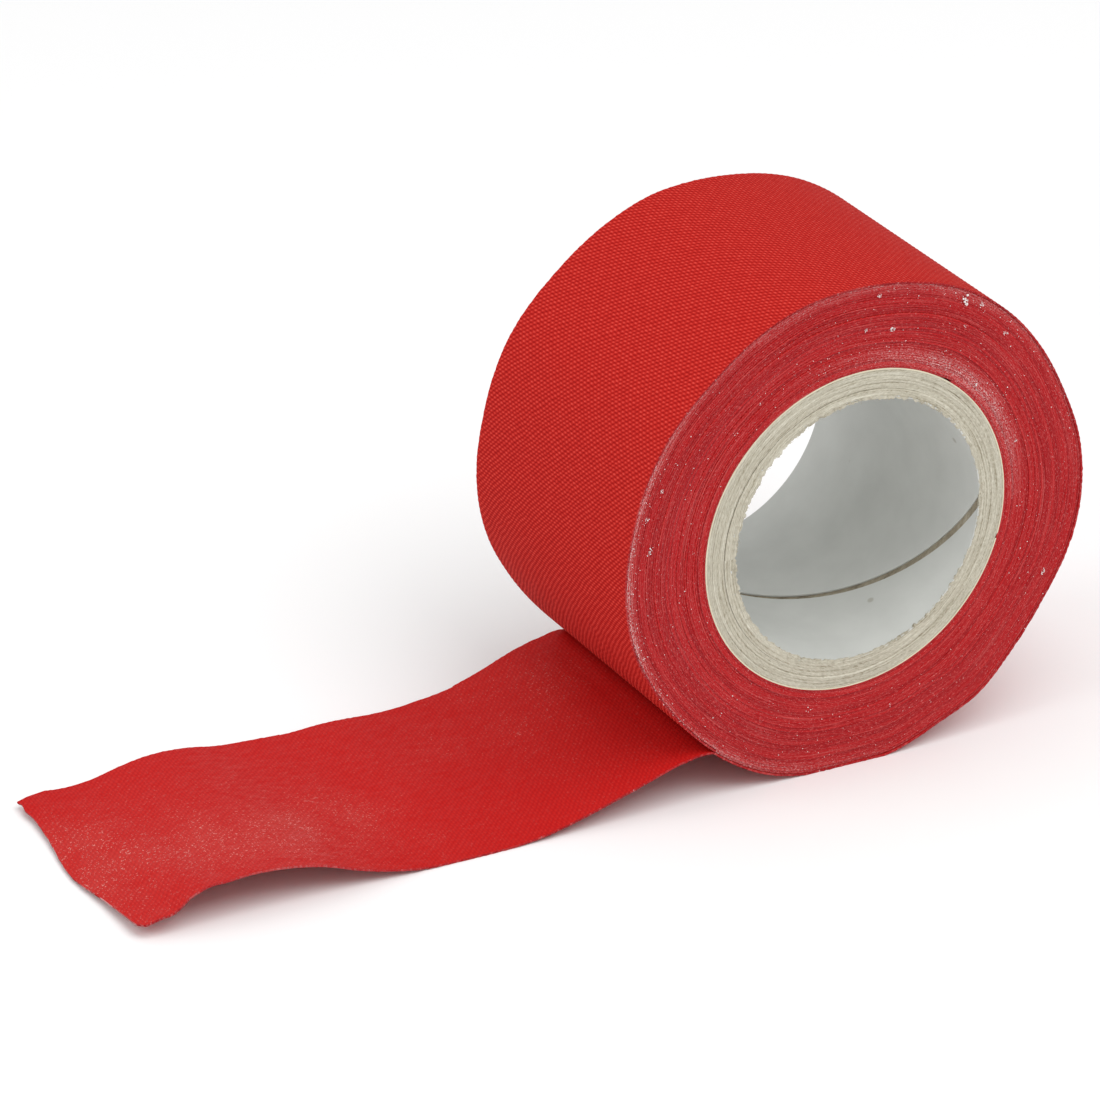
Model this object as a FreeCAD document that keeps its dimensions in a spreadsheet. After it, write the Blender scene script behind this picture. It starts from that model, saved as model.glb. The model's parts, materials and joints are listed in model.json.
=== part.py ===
"""A roll of woven cloth adhesive tape on a spiral-wound board core, with its free end lying out.

Frame: millimetres, +Z up. The origin is the centre of the core's bore at half the roll's
width, and +Y is the roll's axis. The roll rests on z = -35. The tape unwinds from
the bottom of the roll and its free tail lies towards -X.
"""
import FreeCAD, Part
import math
import os

Vector = FreeCAD.Vector
doc = FreeCAD.newDocument("cloth_tape_roll")

# ---------------------------------------------------------------- driving dimensions
DIMENSIONS = [
    ("roll_width", 40.0, "width of the tape and length of the core"),
    ("bore_dia", 38.1, "inside of the core's liner"),
    ("core_dia", 46.0, "outside of the core"),
    ("liner_thick", 0.2, "white paper liner"),
    ("wrap_thick", 0.2, "pale paper wrap outside the board plies"),
    ("glue_film", 0.03, "glue between two plies of the core"),
    ("board_plies", 4, "greyboard plies between liner and wrap"),
    ("seam_lead", 81.5, "advance of a ply's helical butt seam in one turn"),
    ("liner_seam", 1.0, "gap of the liner's butt seam, square to the seam"),
    ("board_seam", 0.4, "gap of each board ply's butt seam"),
    ("seam_start", -1.0, "degrees round the core where the liner's seam starts"),
    ("seam_stagger", 75.0, "degrees between the seams of neighbouring plies"),
    ("cloth_thick", 0.18, "woven cloth backing"),
    ("glue_thick", 0.08, "adhesive on the cloth's inner side"),
    ("turn_spacing", 0.30, "radial growth of the winding in one turn"),
    ("first_gap", 0.04, "between the core and the innermost turn"),
    ("half_turns", 79, "half turns on the roll"),
    ("leave_angle", 234.0, "degrees round the roll where the tape leaves it"),
    ("crest_radius", 4.5, "bend of the tape where it peels off the roll"),
    ("slope_angle", 20.0, "fall of the tape from the crest to the floor"),
    ("foot_radius", 47.0, "bend from the slope to the floor"),
    ("flat_run", 10.0, "stretch of tail lying on the floor"),
    ("rise_radius", 40.0, "bend from the floor up into the hump"),
    ("hump_angle", 18.6, "slope of the hump's roll side"),
    ("hump_radius", 29.0, "bend over the hump"),
    ("end_angle", 12.0, "slope of the hump's outer side"),
    ("end_run", 13.0, "straight stretch at the tail's end"),
    ("hinge_gap", 0.1, "gap between two stretches of tail at a bending line"),
    ("first_bend", 5.0, "length of tape from the roll to the first bending line"),
    ("second_bend", 31.5, "length of tape from the roll to the second bending line"),
    ("third_bend", 59.0, "length of tape from the roll to the third bending line"),
]
sheet = doc.addObject("Spreadsheet::Sheet", "dimensions")
for row, (alias, value, meaning) in enumerate(DIMENSIONS, start=1):
    sheet.set(f"A{row}", meaning)
    sheet.set(f"B{row}", str(value))
    sheet.setAlias(f"B{row}", alias)
doc.recompute()


def size(alias):
    """The value of one driving dimension."""
    return float(sheet.get(alias))


def cell(alias):
    """The same dimension as text for an expression."""
    return f"dimensions.{alias}"


# the roll's axis is +Y, so what is built along Z is laid down with this turn
ALONG_Y = FreeCAD.Rotation(Vector(1, 0, 0), -90)
SEAM_OVERRUN = 2.0


# ---------------------------------------------------------------- core
def cylinder(name, radius):
    """A solid cylinder as long as the roll is wide, standing on z = 0, radius as an expression."""
    body = doc.addObject("Part::Cylinder", name)
    body.setExpression("Radius", radius)
    body.setExpression("Height", cell("roll_width"))
    return body


def seam_cutter(name, inner, outer, gap, start_angle):
    """A helical bar that opens one ply's butt seam, from below one end to above the other."""
    helix = doc.addObject("Part::Helix", name + "_line")
    helix.setExpression("Radius", f"({inner} + {outer}) / 2")
    helix.setExpression("Pitch", cell("seam_lead"))
    helix.setExpression("Height", f"{cell('roll_width')} + {2 * SEAM_OVERRUN}")
    # the gap is measured square to the seam, the section's height along the axis
    lead_angle = f"atan({cell('seam_lead')} / (pi * ({inner} + {outer})))"
    section = doc.addObject("Part::Plane", name + "_section")
    section.setExpression("Length", f"{gap} / cos({lead_angle})")
    section.setExpression("Width", f"2 * ({outer} - {inner})")
    section.setExpression("Placement.Base.x", f"({inner} + {outer}) / 2 - ({outer} - {inner})")
    section.setExpression("Placement.Base.z", f"-{gap} / cos({lead_angle}) / 2")
    # its length stands along the axis and its width along the radius
    section.Placement.Rotation = FreeCAD.Rotation(
        Vector(0, 0, 1), Vector(1, 0, 0), Vector(0, 1, 0), "XYZ")
    cutter = doc.addObject("Part::Sweep", name)
    cutter.Sections = [section]
    cutter.Spine = (helix, ["Edge1"])
    cutter.Solid = True
    cutter.Frenet = True
    cutter.Placement = FreeCAD.Placement(
        Vector(0, 0, -SEAM_OVERRUN), FreeCAD.Rotation(Vector(0, 0, 1), start_angle))
    return cutter


def core_ply(label, inner, outer, gap, start_angle):
    """One ply of the core: a strip wound into a tube, its edges meeting in a helical butt seam."""
    tube = doc.addObject("Part::Cut", label + "_tube")
    tube.Base = cylinder(label + "_outside", outer)
    tube.Tool = cylinder(label + "_inside", inner)
    ply = doc.addObject("Part::Cut", label)
    ply.Label = label
    ply.Base = tube
    overrun_turn = 360 * SEAM_OVERRUN / size("seam_lead")
    ply.Tool = seam_cutter(label + "_seam", inner, outer, gap, start_angle - overrun_turn)
    ply.Placement = FreeCAD.Placement(Vector(0, -size("roll_width") / 2, 0), ALONG_Y)
    return ply


def build_core():
    """White liner, greyboard plies and pale outer wrap, each with its own seam."""
    bore = f"{cell('bore_dia')} / 2"
    board_in = f"({bore} + {cell('liner_thick')})"
    board_out = f"({cell('core_dia')} / 2 - {cell('wrap_thick')})"
    film = cell("glue_film")
    count = int(size("board_plies"))
    start, stagger = size("seam_start"), size("seam_stagger")
    plies = [core_ply("core_liner", bore, board_in, cell("liner_seam"), start)]
    for number in range(1, count + 1):
        share = f"({board_out} - {board_in}) / {count}"
        inner = f"({board_in} + {number - 1} * {share} + {film})"
        outer = f"({board_in} + {number} * {share})"
        angle = start + number * stagger
        plies.append(core_ply(f"core_board_ply_{number}", inner, outer, cell("board_seam"), angle))
    wrap_in = f"({board_out} + {film})"
    wrap_out = f"({cell('core_dia')} / 2)"
    angle = start + (count + 1) * stagger
    plies.append(core_ply("core_outer_wrap", wrap_in, wrap_out, cell("board_seam"), angle))
    return plies


# ---------------------------------------------------------------- path of the tape
# The tape is one long path in the XZ plane. It follows the adhesive face, from the innermost
# turn to the tail's end. A piece of it is (length, turn): a straight run has no turn, and an
# arc turns left (+) or right (-) by that many degrees. The cloth is on the left.
def tangent(heading):
    """Unit vector along a heading, in degrees from +X towards +Z."""
    angle = math.radians(heading)
    return Vector(math.cos(angle), 0, math.sin(angle))


def leftward(heading):
    """Unit vector to the left of a heading, the side of the cloth."""
    return tangent(heading + 90)


def advance(point, heading, length, turn):
    """The point and heading after one piece of the path."""
    if turn == 0:
        return point + tangent(heading) * length, heading
    to_centre = leftward(heading) * (length / math.radians(turn))
    from_centre = leftward(heading + turn) * (length / math.radians(turn))
    return point + to_centre - from_centre, heading + turn


def arc(radius, turn):
    """An arc piece from its radius and its turn."""
    return abs(math.radians(turn)) * radius, turn


def winding():
    """The turns on the roll: half circles, each larger than the last by half the spacing."""
    first = size("core_dia") / 2 + size("first_gap")
    step = size("turn_spacing") / 2
    return [arc(first + step * number, -180) for number in range(int(size("half_turns")))]


def tail(point, heading):
    """Crest, slope, foot, floor, rise, hump and end of the free tail, from where it leaves."""
    slope_angle = size("slope_angle")
    crest = arc(size("crest_radius"), 180 + slope_angle - heading % 360)
    foot = arc(size("foot_radius"), -slope_angle)
    rise = arc(size("rise_radius"), -size("hump_angle"))
    hump = arc(size("hump_radius"), size("hump_angle") + size("end_angle"))
    # the slope is as long as it takes the crest, the slope and the foot to reach the floor
    top_of_slope, _ = advance(point, heading, *crest)
    top_of_foot = size("foot_radius") * (1 - math.cos(math.radians(slope_angle)))
    lying = -point.Length
    slope_run = (top_of_slope.z - lying - top_of_foot) / math.sin(math.radians(slope_angle))
    return [crest, (slope_run, 0), foot, (size("flat_run"), 0), rise, hump, (size("end_run"), 0)]


def tape_path():
    """The whole tape as (start length, point, heading, length, turn), lengths from the roll."""
    leave_angle = size("leave_angle")
    first_radius = size("core_dia") / 2 + size("first_gap")
    point = tangent(leave_angle + 180) * first_radius
    heading = leave_angle + 90
    turns = winding()
    done = -sum(length for length, _ in turns)
    path = []
    for length, turn in turns:
        path.append((done, point, heading, length, turn))
        point, heading = advance(point, heading, length, turn)
        done += length
    for length, turn in tail(point, heading):
        path.append((done, point, heading, length, turn))
        point, heading = advance(point, heading, length, turn)
        done += length
    return path


def stretch(path, begin, end):
    """The part of the path between two lengths, as (point, heading, length, turn)."""
    pieces = []
    for start, point, heading, length, turn in path:
        low, high = max(begin, start), min(end, start + length)
        if high <= low:
            continue
        skipped, kept = (low - start) / length, (high - low) / length
        point, heading = advance(point, heading, length * skipped, turn * skipped)
        pieces.append((point, heading, length * kept, turn * kept))
    return pieces


# ---------------------------------------------------------------- tape layers
def layer_edge(piece, offset):
    """One piece of the path moved to the left by an offset, as a line or an arc."""
    point, heading, length, turn = piece
    places = []
    for share in (0, 0.5, 1):
        here, facing = advance(point, heading, length * share, turn * share)
        places.append(here + leftward(facing) * offset)
    if turn == 0:
        return Part.LineSegment(places[0], places[2]).toShape()
    return Part.Arc(*places).toShape()


def layer_face(pieces, near, far):
    """The section of one layer of the tape, between two offsets from the adhesive face."""
    near_side = [layer_edge(piece, near) for piece in pieces]
    far_side = [layer_edge(piece, far) for piece in pieces]
    begin = Part.LineSegment(far_side[0].firstVertex(True).Point, near_side[0].firstVertex(True).Point)
    finish = Part.LineSegment(near_side[-1].lastVertex(True).Point, far_side[-1].lastVertex(True).Point)
    edges = [begin.toShape()] + near_side + [finish.toShape()] + far_side[::-1]
    return Part.Face(Part.Wire(edges))


def tape_layer(label, pieces, near, far):
    """A layer of the tape over a stretch of its path, as wide as the roll."""
    section = doc.addObject("Part::Feature", label + "_section")
    section.Shape = layer_face(pieces, near, far)
    layer = doc.addObject("Part::Extrusion", label)
    layer.Label = label
    layer.Base = section
    layer.DirMode = "Custom"
    layer.Dir = Vector(0, 1, 0)
    layer.Solid = True
    layer.Symmetric = True
    layer.setExpression("LengthFwd", cell("roll_width"))
    layer.Placement = FreeCAD.Placement()
    return layer


def build_tape():
    """The tape on the roll and the three stretches of its tail, adhesive and cloth apart."""
    path = tape_path()
    last_start, _, _, last_length, _ = path[-1]
    half_gap = size("hinge_gap") / 2
    bends = [size("first_bend"), size("second_bend"), size("third_bend")]
    begins = [path[0][0]] + [bend + half_gap for bend in bends]
    ends = [bend - half_gap for bend in bends] + [last_start + last_length]
    names = ["wound", "tail_inner", "tail_middle", "tail_outer"]
    glue, whole = size("glue_thick"), size("glue_thick") + size("cloth_thick")
    layers = []
    for name, begin, end in zip(names, begins, ends):
        pieces = stretch(path, begin, end)
        layers.append(tape_layer(name + "_adhesive", pieces, 0, glue))
        layers.append(tape_layer(name + "_cloth", pieces, glue, whole))
        print(f"{name}: {end - begin:.1f} mm of tape")
    for bend in bends:
        point, heading, _, _ = stretch(path, bend, bend + 1)[0]
        print(f"bending line at x {point.x:.3f}, z {point.z:.3f}, heading {heading % 360:.1f}")
    return layers


# ---------------------------------------------------------------- whole roll
def check(parts):
    """Stop if any object failed, or a sub-part isn't one valid solid."""
    doc.recompute()
    for item in doc.Objects:
        if "Invalid" in item.State or "Error" in item.State:
            raise RuntimeError(f"{item.Name} failed: {item.State}")
    for item in parts:
        shape = item.Shape
        if shape.isNull() or not shape.isValid() or len(shape.Solids) != 1:
            raise RuntimeError(f"{item.Label} is not one valid solid")


def export(parts):
    """Write each sub-part to its own STEP file."""
    os.makedirs("parts", exist_ok=True)
    for item in parts:
        item.Shape.exportStep(f"parts/{item.Label}.step")
        box = item.Shape.optimalBoundingBox()
        print(f"{item.Label}: {item.Shape.Volume:.1f} mm3, x {box.XMin:.2f}..{box.XMax:.2f}, "
              f"y {box.YMin:.2f}..{box.YMax:.2f}, z {box.ZMin:.2f}..{box.ZMax:.2f}")


sub_parts = build_core() + build_tape()
check(sub_parts)
export(sub_parts)
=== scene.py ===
# %% [markdown]
# # A roll of woven cloth tape
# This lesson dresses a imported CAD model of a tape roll. The roll is one long strip of woven
# cotton with a sticky inner face. It is wound on a board core, and its free end lies out in
# front. The CAD model says where everything is and how it moves. Here each surface gets the
# shape and finish of the real one.
#
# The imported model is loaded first, because every place and size below comes from it.
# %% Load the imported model
import json
import math

import bpy
import numpy as np
from mathutils import Matrix, Vector


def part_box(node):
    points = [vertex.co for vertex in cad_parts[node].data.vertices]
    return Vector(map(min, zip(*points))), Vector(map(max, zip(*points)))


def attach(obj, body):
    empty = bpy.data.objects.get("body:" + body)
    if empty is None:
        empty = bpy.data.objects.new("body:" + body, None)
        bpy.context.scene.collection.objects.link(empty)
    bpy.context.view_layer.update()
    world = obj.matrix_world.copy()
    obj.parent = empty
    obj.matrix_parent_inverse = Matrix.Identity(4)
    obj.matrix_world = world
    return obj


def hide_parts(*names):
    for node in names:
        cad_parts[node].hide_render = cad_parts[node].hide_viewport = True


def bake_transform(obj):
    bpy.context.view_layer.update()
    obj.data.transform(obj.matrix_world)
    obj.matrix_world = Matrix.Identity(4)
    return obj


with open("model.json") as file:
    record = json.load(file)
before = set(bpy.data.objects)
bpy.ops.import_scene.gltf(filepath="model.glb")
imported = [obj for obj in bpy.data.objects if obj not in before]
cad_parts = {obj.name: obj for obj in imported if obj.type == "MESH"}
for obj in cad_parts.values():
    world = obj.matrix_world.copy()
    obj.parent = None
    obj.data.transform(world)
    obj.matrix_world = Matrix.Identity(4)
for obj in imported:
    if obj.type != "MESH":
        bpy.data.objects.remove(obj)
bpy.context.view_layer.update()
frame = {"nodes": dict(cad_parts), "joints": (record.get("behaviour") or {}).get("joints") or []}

# %% [markdown]
# The two radii, the width and the floor come from the model. Thicknesses are too small to
# read from a box, so they are named here: the cloth, the adhesive on it and the spacing of the
# turns. The two thread spacings are those of the weave: 21 threads to the centimetre along
# the tape and 22 across it. All sizes are in metres, so one given in millimetres is
# multiplied by MM.
# %% Sizes of the roll
MM = 0.001
CLOTH_THICK = 0.18 * MM
GLUE_THICK = 0.08 * MM
TAPE_THICK = CLOTH_THICK + GLUE_THICK
TURN_SPACING = 0.30 * MM
THREAD_ALONG = 0.467 * MM
outer_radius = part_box("wound_cloth")[1].x
core_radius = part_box("core_outer_wrap")[1].x
half_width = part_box("wound_cloth")[1].y
floor_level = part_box("wound_cloth")[0].z
THREADS_ACROSS = 88
THREAD_ACROSS = 2 * half_width / THREADS_ACROSS
bend_places = {joint["name"]: Vector(joint["pos_m"]) for joint in frame["joints"]}
print("roll radius", round(outer_radius / MM, 2), "mm, core radius", round(core_radius / MM, 2), "mm")

# %% [markdown]
# The camera stands in front, to the left and above, far off with a long lens, as for a
# catalogue picture. Its three axes are built from an azimuth, an elevation and a slight roll.
# Writing the matrix directly avoids the guesswork of Euler angles.
# %% Camera
CAMERA_PLACE = Vector((-0.4028, -0.6397, 0.3609))
CAMERA_AZIMUTH = math.radians(-29.91)
CAMERA_ELEVATION = math.radians(26.31)
CAMERA_ROLL = math.radians(1.5)
CAMERA_LENS = 204.9


def camera_matrix(place, azimuth, elevation, roll):
    """Camera to world, from where the camera stands as seen from the object."""
    back = Vector((math.sin(azimuth) * math.cos(elevation),
                   -math.cos(azimuth) * math.cos(elevation), math.sin(elevation)))
    level = Vector((math.cos(azimuth), math.sin(azimuth), 0))
    upright = back.cross(level)
    right = level * math.cos(roll) + upright * math.sin(roll)
    up = upright * math.cos(roll) - level * math.sin(roll)
    rotation = Matrix((right, up, back)).transposed().to_4x4()
    return Matrix.Translation(place) @ rotation


camera = bpy.data.objects.new("camera", bpy.data.cameras.new("camera"))
bpy.context.scene.collection.objects.link(camera)
camera.matrix_world = camera_matrix(CAMERA_PLACE, CAMERA_AZIMUTH, CAMERA_ELEVATION, CAMERA_ROLL)
camera.data.lens = CAMERA_LENS
camera.data.sensor_width = 36
camera.data.clip_start = 0.01
camera.data.clip_end = 20
bpy.context.scene.camera = camera
print("camera looks along", [round(-x, 3) for x in camera.matrix_world.col[2][:3]])

# %% [markdown]
# A catalogue picture has a white floor and very soft light. Two large area lamps and a white
# sky do it: the key hangs above and in front, and the fill stands to the left, over the tail.
# Small lamps would be simpler to place, but their hard shadows would hide the weave. The
# Standard view keeps the red as saturated as the cloth is.
# %% Floor, lamps and sky
FLOOR_SIZE = 8.0
FLOOR_GAP = 0.03 * MM
FLOOR_COLOUR = (0.93, 0.93, 0.93, 1)
KEY_PLACE = (0.10, -0.45, 0.9)
KEY_SIZE = 0.8
KEY_WATTS = 5.4
FILL_PLACE = (-1.1, 0.1, 0.6)
FILL_SIZE = 0.9
FILL_WATTS = 4.0
SKY_STRENGTH = 0.70


def deselect_all():
    """Nothing selected and nothing active, so that an operator acts only on what comes next."""
    if bpy.context.object and bpy.context.object.mode != "OBJECT":
        bpy.ops.object.mode_set(mode="OBJECT")
    bpy.ops.object.select_all(action="DESELECT")
    bpy.context.view_layer.objects.active = None


def area_lamp(name, place, size, watts):
    """A square lamp that faces the middle of the roll."""
    data = bpy.data.lights.new(name, "AREA")
    data.shape = "SQUARE"
    data.size = size
    data.energy = watts
    lamp = bpy.data.objects.new(name, data)
    bpy.context.scene.collection.objects.link(lamp)
    lamp.location = place
    lamp.rotation_euler = (-Vector(place)).to_track_quat("-Z", "Y").to_euler()


deselect_all()
bpy.ops.mesh.primitive_plane_add(size=FLOOR_SIZE, location=(0, 0, floor_level - FLOOR_GAP))
floor = bpy.context.object
floor.name = "floor"
floor_finish = bpy.data.materials.new("floor_paper")
floor_finish.use_nodes = True
floor_finish.node_tree.nodes["Principled BSDF"].inputs["Base Color"].default_value = FLOOR_COLOUR
floor_finish.node_tree.nodes["Principled BSDF"].inputs["Roughness"].default_value = 0.9
floor.data.materials.append(floor_finish)
area_lamp("key", KEY_PLACE, KEY_SIZE, KEY_WATTS)
area_lamp("fill", FILL_PLACE, FILL_SIZE, FILL_WATTS)
world = bpy.data.worlds.new("sky")
bpy.context.scene.world = world
world.use_nodes = True
world.node_tree.nodes["Background"].inputs["Color"].default_value = (1, 1, 1, 1)
world.node_tree.nodes["Background"].inputs["Strength"].default_value = SKY_STRENGTH
bpy.context.scene.view_settings.view_transform = "Standard"
print("floor at", round(floor_level / MM, 2), "mm")

# %% [markdown]
# Materials are graphs of nodes. Short helpers keep them readable: one adds a node and wires
# its inputs, one does arithmetic, and the others mix colours, rescale a value, and make noise
# and bumps. What follows the tape reads the attribute `tape`: how far along the strip and how
# far across it a point is, in millimetres, with the number of the turn. Object coordinates
# would slide through the cloth where it bends, and this pattern stays on it.
# %% Helpers for materials
def new_material(name):
    """A material with its tree and its Principled shader."""
    material = bpy.data.materials.new(name)
    material.use_nodes = True
    return material, material.node_tree, material.node_tree.nodes["Principled BSDF"]


def add_node(tree, kind, inputs=(), **settings):
    """A node with settings, and inputs given as sockets or plain values."""
    made = tree.nodes.new(kind)
    for key, value in settings.items():
        setattr(made, key, value)
    for key, value in dict(inputs).items():
        if isinstance(value, bpy.types.NodeSocket):
            tree.links.new(value, made.inputs[key])
        else:
            made.inputs[key].default_value = value
    return made


def calc(tree, operation, *values, clamp=False):
    """The output of a Math node."""
    made = add_node(tree, "ShaderNodeMath", enumerate(values), operation=operation, use_clamp=clamp)
    return made.outputs[0]


def mix_colour(tree, share, first, second):
    """first where share is 0 and second where it is 1."""
    inputs = {0: share, 6: first, 7: second}
    return add_node(tree, "ShaderNodeMix", inputs, data_type="RGBA").outputs[2]


def rescale(tree, value, low, high, to_low=0.0, to_high=1.0):
    """value from low..high to to_low..to_high, and no further."""
    inputs = {"Value": value, "From Min": low, "From Max": high, "To Min": to_low, "To Max": to_high}
    return add_node(tree, "ShaderNodeMapRange", inputs).outputs[0]


def tape_place(tree):
    """The attribute `tape` as a vector, and its three numbers: along, across and turn."""
    place = add_node(tree, "ShaderNodeAttribute", attribute_name="tape").outputs["Vector"]
    parts = add_node(tree, "ShaderNodeSeparateXYZ", {0: place}).outputs
    return place, parts[0], parts[1], parts[2]


def noise_at(tree, place, scale, detail=2.0, roughness=0.5):
    """A noise texture's value, from 0 to 1."""
    inputs = {"Vector": place, "Scale": scale, "Detail": detail, "Roughness": roughness}
    return add_node(tree, "ShaderNodeTexNoise", inputs).outputs["Fac"]


def stretched(tree, place, scales):
    """A place multiplied by three scales, so that a noise on it is longer one way."""
    return add_node(tree, "ShaderNodeMapping", {"Vector": place, "Scale": scales}).outputs[0]


def bump_from(tree, height, distance, before=None):
    """A bumped normal. distance is how high a height of 1 stands, in metres."""
    inputs = {"Height": height, "Distance": distance, "Strength": 1.0}
    if before is not None:
        inputs["Normal"] = before
    return add_node(tree, "ShaderNodeBump", inputs).outputs[0]


# %% [markdown]
# The backing is a plain weave: each thread goes over one and under the next, so its high
# points sit like the black squares of a chessboard. Two waves that cross at a slant add up to
# just that form. One is made stronger than the other, because the twist of the yarn makes
# each high point lean one way. A third, faster wave along the tape cuts the threads apart.
# The weave colours the cloth too: its hollows get painted shade, deep red, and its crowns a painted
# highlight, paler.
# An image of cloth would be quicker, but waves have no seams and stay sharp close up.
# %% Woven cloth
CLOTH_RED = (0.50, 0.018, 0.013, 1)
CLOTH_CROWN_HIGHLIGHT = (0.70, 0.075, 0.056, 1)
CLOTH_HOLLOW_SHADE = (0.29, 0.003, 0.003, 1)
PALE_DUST = (0.74, 0.36, 0.30, 1)
DUST_SPECK = (0.85, 0.62, 0.55, 1)
LEANING_SHARE = 0.20
OPPOSED_SHARE = 0.06
THREAD_GAP_SHARE = 0.19
THREAD_WANDER = 0.4


def weave_height(tree, along, across):
    """0 in the hollows of the weave and 1 on the crowns of its threads."""
    turn_along = calc(tree, "MULTIPLY", along, math.pi * MM / THREAD_ALONG)
    turn_across = calc(tree, "MULTIPLY", across, math.pi * MM / THREAD_ACROSS)
    leaning = calc(tree, "COSINE", calc(tree, "ADD", turn_along, turn_across))
    opposed = calc(tree, "COSINE", calc(tree, "SUBTRACT", turn_along, turn_across))
    thread_gap = calc(tree, "COSINE", calc(tree, "MULTIPLY", turn_along, 2.0))
    height = calc(tree, "MULTIPLY_ADD", leaning, LEANING_SHARE, 0.5)
    height = calc(tree, "MULTIPLY_ADD", opposed, OPPOSED_SHARE, height)
    return calc(tree, "MULTIPLY_ADD", thread_gap, THREAD_GAP_SHARE, height, clamp=True)


def uneven_weave(tree, place, along, across):
    """The weave with its threads a little thick and thin."""
    wander = calc(tree, "SUBTRACT", noise_at(tree, place, 0.35, 1.0), 0.5)
    along = calc(tree, "MULTIPLY_ADD", wander, THREAD_WANDER, along)
    across = calc(tree, "MULTIPLY_ADD", wander, THREAD_WANDER, across)
    thickness = noise_at(tree, stretched(tree, place, (2.2, 0.5, 1.0)), 1.0, 2.0)
    height = weave_height(tree, along, across)
    return calc(tree, "MULTIPLY", height, rescale(tree, thickness, 0.3, 0.7, 0.75, 1.0))


def cloth_material():
    """The outer face of the tape: bright red woven cotton."""
    material, tree, shader = new_material("woven_cloth")
    place, along, across, _ = tape_place(tree)
    height = uneven_weave(tree, place, along, across)
    # Painted shade in the hollows of the weave and a painted highlight on its crowns.
    red = mix_colour(tree, rescale(tree, height, 0.15, 0.5), CLOTH_HOLLOW_SHADE, CLOTH_RED)
    crowned = mix_colour(tree, rescale(tree, height, 0.55, 0.95), red, CLOTH_CROWN_HIGHLIGHT)
    tree.links.new(crowned, shader.inputs["Base Color"])
    fibres = noise_at(tree, place, 9.0, 3.0, 0.7)
    threads = bump_from(tree, height, 0.055 * MM)
    tree.links.new(bump_from(tree, fibres, 0.012 * MM, threads), shader.inputs["Normal"])
    shader.inputs["Roughness"].default_value = 0.85
    shader.inputs["Specular IOR Level"].default_value = 0.10
    return material


cloth = cloth_material()
print("made", cloth.name, "with", len(cloth.node_tree.nodes), "nodes")

# %% [markdown]
# The inner face is the same cloth soaked with rubber adhesive. The weave still shows through,
# but flatter, the red is deeper, and pale dust has stuck to it in clouds of fine specks. Where
# the dust lies is a property of the tail and not of the material, so it comes from the mesh,
# as the attribute `dust`. The noise here only breaks it up.
# %% Adhesive face
GLUE_RED = (0.49, 0.008, 0.007, 1)
GLUE_CROWN_HIGHLIGHT = (0.54, 0.014, 0.011, 1)
GLUE_HOLLOW_SHADE = (0.41, 0.004, 0.005, 1)


def adhesive_material():
    """The inner face of the tape: red rubber adhesive over the weave, with dust stuck in it."""
    material, tree, shader = new_material("adhesive_face")
    place, along, across, _ = tape_place(tree)
    height = uneven_weave(tree, place, along, across)
    # Painted shade in the hollows of the weave and a painted highlight on its crowns, fainter than on the
    # cloth.
    red = mix_colour(tree, rescale(tree, height, 0.1, 0.5), GLUE_HOLLOW_SHADE, GLUE_RED)
    crowned = mix_colour(tree, rescale(tree, height, 0.5, 0.95), red, GLUE_CROWN_HIGHLIGHT)
    clouds = rescale(tree, noise_at(tree, place, 0.12, 4.0), 0.35, 0.65, 0.3, 1.0)
    settled = add_node(tree, "ShaderNodeAttribute", attribute_name="dust").outputs["Fac"]
    dust = calc(tree, "MULTIPLY", settled, clouds)
    haze = mix_colour(tree, calc(tree, "MULTIPLY", dust, 0.09), crowned, PALE_DUST)
    specks = rescale(tree, noise_at(tree, place, 3.4, 2.0, 0.7), 0.63, 0.66)
    settled_specks = calc(tree, "MULTIPLY", dust, specks)
    dusty = mix_colour(tree, calc(tree, "MULTIPLY", settled_specks, 0.8), haze, DUST_SPECK)
    tree.links.new(dusty, shader.inputs["Base Color"])
    threads = bump_from(tree, height, 0.030 * MM)
    smears = noise_at(tree, stretched(tree, place, (0.4, 1.0, 1.0)), 1.2, 3.0)
    tree.links.new(bump_from(tree, smears, 0.04 * MM, threads), shader.inputs["Normal"])
    tree.links.new(rescale(tree, smears, 0.3, 0.7, 0.5, 0.75), shader.inputs["Roughness"])
    shader.inputs["Specular IOR Level"].default_value = 0.12
    return material


adhesive = adhesive_material()
print("made", adhesive.name, "with", len(adhesive.node_tree.nodes), "nodes")

# %% [markdown]
# Seen from the side, the roll is a stack of cut edges. Each turn has its own shade, some are
# frayed paler for a stretch, and the cut threads make fine dashes. Dust has whitened some
# places: a band near the core and the outermost turns. All of it is drawn out along the tape
# by stretching the place that each noise reads. `dust` says how dusty a place is, as before.
# %% Cut edges
EDGE_RED = (0.45, 0.010, 0.013, 1)
EDGE_DARK = (0.28, 0.004, 0.008, 1)
EDGE_PALE = (0.62, 0.095, 0.090, 1)
FROST = (0.82, 0.55, 0.54, 1)


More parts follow.
